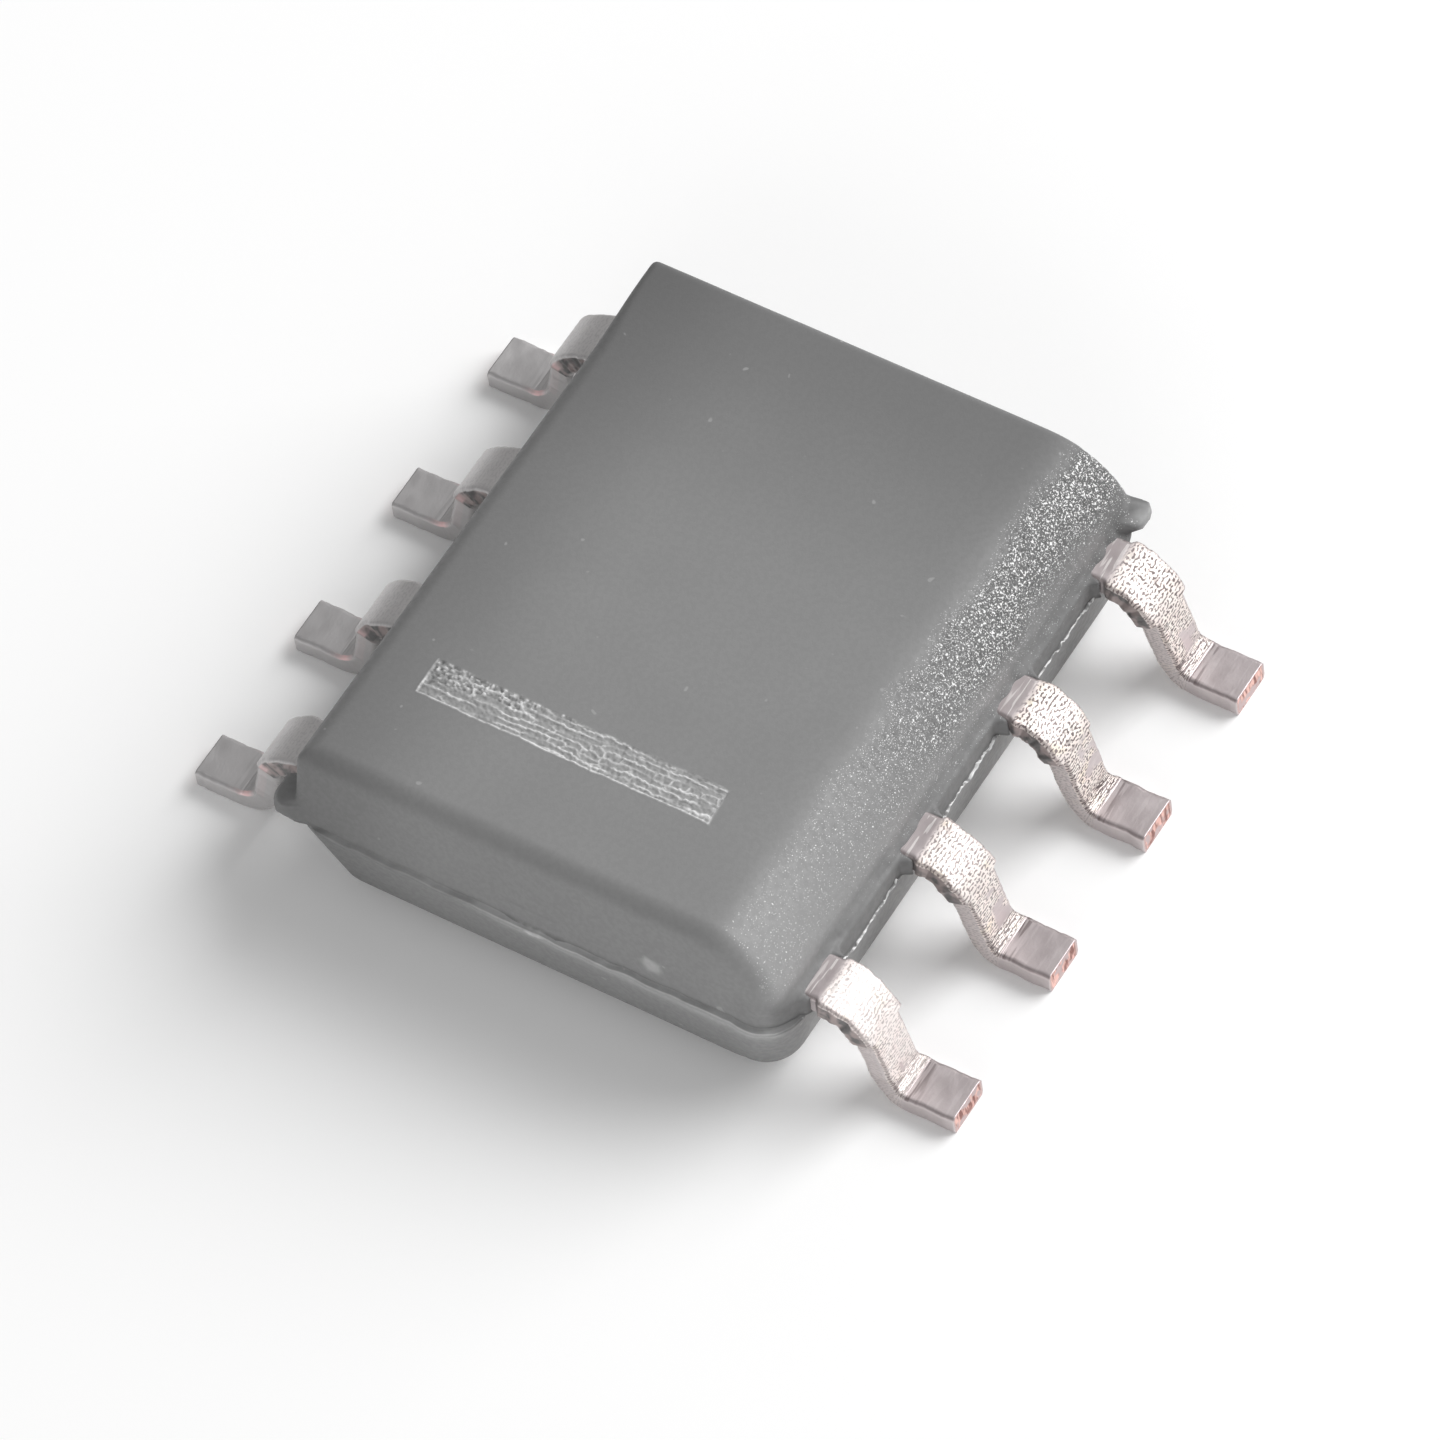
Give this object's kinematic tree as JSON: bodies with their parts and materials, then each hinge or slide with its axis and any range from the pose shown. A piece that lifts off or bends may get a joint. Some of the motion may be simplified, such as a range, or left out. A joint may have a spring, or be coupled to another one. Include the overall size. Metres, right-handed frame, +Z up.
{
  "type": "small outline integrated circuit package",
  "caption": "Surface-mount chip package: a moulded resin body with a bevelled long edge and an etched index bar, on gull-wing leads along both long sides",
  "frame": {"origin": "centre of the package on the seating plane that the feet stand on", "axes": "+X along the body away from the index bar and pin 1 end, +Y across the body away from the bevelled side with pins 1 to 4, +Z up"},
  "size_m": [0.005, 0.006, 0.0016],
  "materials": {
    "mold_resin": "grey filled epoxy, smooth matte top, spark-eroded bevel, pale flash at the parting line",
    "tin_plated_lead": "matte tin plating over copper alloy, bare copper-pink at the cut ends",
    "copper_alloy": "bare copper alloy lead frame",
    "silver_epoxy": "cured silver-filled adhesive",
    "silicon": "polished silicon",
    "gold_wire": "bright gold wire"
  },
  "bodies": {
    "root": {"mold_body": "mold_resin", "die_paddle": "copper_alloy", "die_attach": "silver_epoxy", "silicon_die": "silicon", "lead_1": "tin_plated_lead", "lead_2": "tin_plated_lead", "lead_3": "tin_plated_lead", "lead_4": "tin_plated_lead", "lead_5": "tin_plated_lead", "lead_6": "tin_plated_lead", "lead_7": "tin_plated_lead", "lead_8": "tin_plated_lead", "bond_wire_1": "gold_wire", "bond_wire_2": "gold_wire", "bond_wire_3": "gold_wire", "bond_wire_4": "gold_wire", "bond_wire_5": "gold_wire", "bond_wire_6": "gold_wire", "bond_wire_7": "gold_wire", "bond_wire_8": "gold_wire"}
  },
  "joints": []
}
